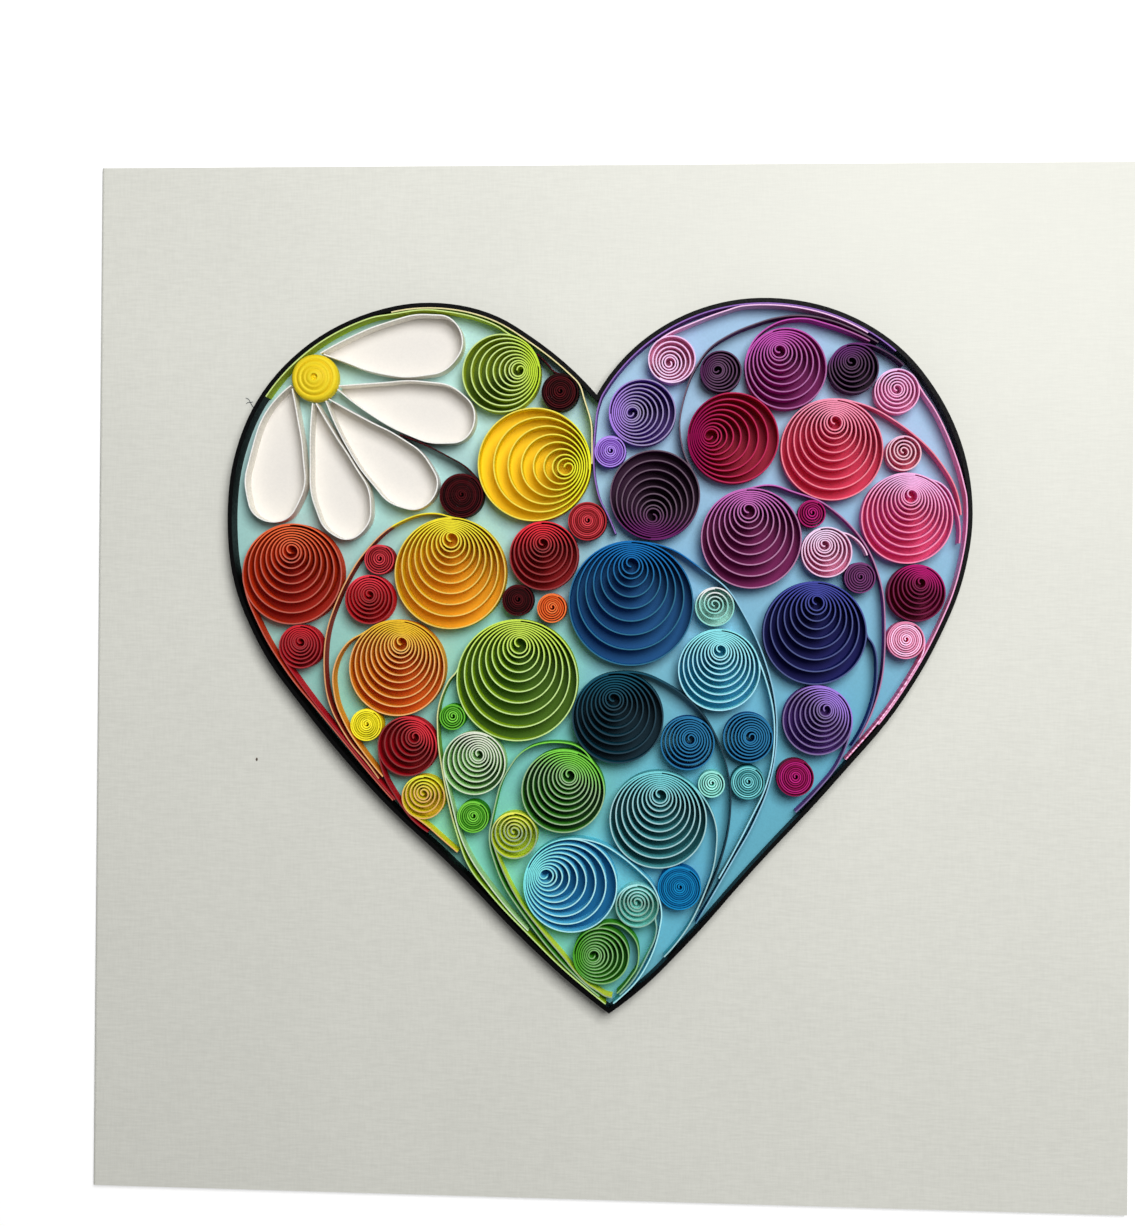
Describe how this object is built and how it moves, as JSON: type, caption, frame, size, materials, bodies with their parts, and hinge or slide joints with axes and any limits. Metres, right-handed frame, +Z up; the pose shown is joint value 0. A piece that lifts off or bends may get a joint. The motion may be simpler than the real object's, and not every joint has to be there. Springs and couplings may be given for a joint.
{
  "type": "quilled paper art",
  "caption": "Folded white card carrying a heart of quilled paper: coils, tight rolls, curving strips and a daisy inside a black paper rim.",
  "frame": {"origin": "middle of the card's underside", "axes": "+Z up out of the card's face, +Y towards the top of the heart, +X to the right of the heart, away from the card's fold"},
  "size_m": [0.15, 0.15, 0.0049],
  "materials": {
    "card_white": "matte",
    "rim_black": "matte",
    "petal_white": "matte",
    "daisy_yellow": "matte",
    "lime": "matte",
    "golden_yellow": "matte",
    "amber_orange": "matte",
    "orange": "matte",
    "vermilion": "matte",
    "red": "matte",
    "crimson": "matte",
    "maroon": "matte",
    "pale_green": "matte",
    "green": "matte",
    "pale_teal": "matte",
    "petrol": "matte",
    "light_blue": "matte",
    "blue": "matte",
    "navy": "matte",
    "plum": "matte",
    "dark_purple": "matte",
    "lilac": "matte",
    "magenta": "matte",
    "pink": "matte",
    "coral": "matte"
  },
  "bodies": {
    "root": {"amber_coil": "amber_orange", "aubergine_coil": "dark_purple", "blue_coil": "blue", "blue_coils_small": "blue", "blue_roll": "blue", "card": "card_white", "coral_coil": "coral", "coral_coil_small": "coral", "crimson_coil_left": "crimson", "crimson_coil_small": "crimson", "crimson_coil_top": "crimson", "daisy_centre": "daisy_yellow", "dark_purple_coil": "dark_purple", "green_coil_large": "lime", "green_coil_small": "green", "green_rolls": "green", "heart_rim": "rim_black", "light_blue_coil": "light_blue", "light_pink_roll": "pink", "lilac_coil": "lilac", "lime_coil": "lime", "lime_coil_small": "lime", "magenta_coil": "magenta", "magenta_rolls": "magenta", "maroon_rolls": "maroon", "mint_coil": "pale_green", "navy_coil": "navy", "orange_coil": "orange", "orange_roll": "orange", "pale_green_coil": "pale_green", "pale_green_roll": "pale_green", "pale_teal_coil": "pale_teal", "petal_left": "petal_white", "petal_lower": "petal_white", "petal_lower_right": "petal_white", "petal_right": "petal_white", "petal_upper": "petal_white", "petrol_coil": "petrol", "pink_coil": "pink", "pink_coil_small": "pink", "pink_coil_top": "pink", "plum_coil": "plum", "purple_coil": "plum", "purple_coil_small": "plum", "red_coil_lower": "red", "red_coil_upper": "red", "red_rolls": "red", "ringed_green_coil": "green", "rose_coil": "pink", "sky_coil": "light_blue", "teal_coil": "pale_teal", "teal_roll": "pale_teal", "vermilion_coil": "vermilion", "violet_coil": "lilac", "violet_lining": "lilac", "violet_rolls": "lilac", "yellow_coil": "golden_yellow", "yellow_coil_small": "golden_yellow", "yellow_lime_strip": "lime", "yellow_roll": "golden_yellow"}
  },
  "joints": []
}
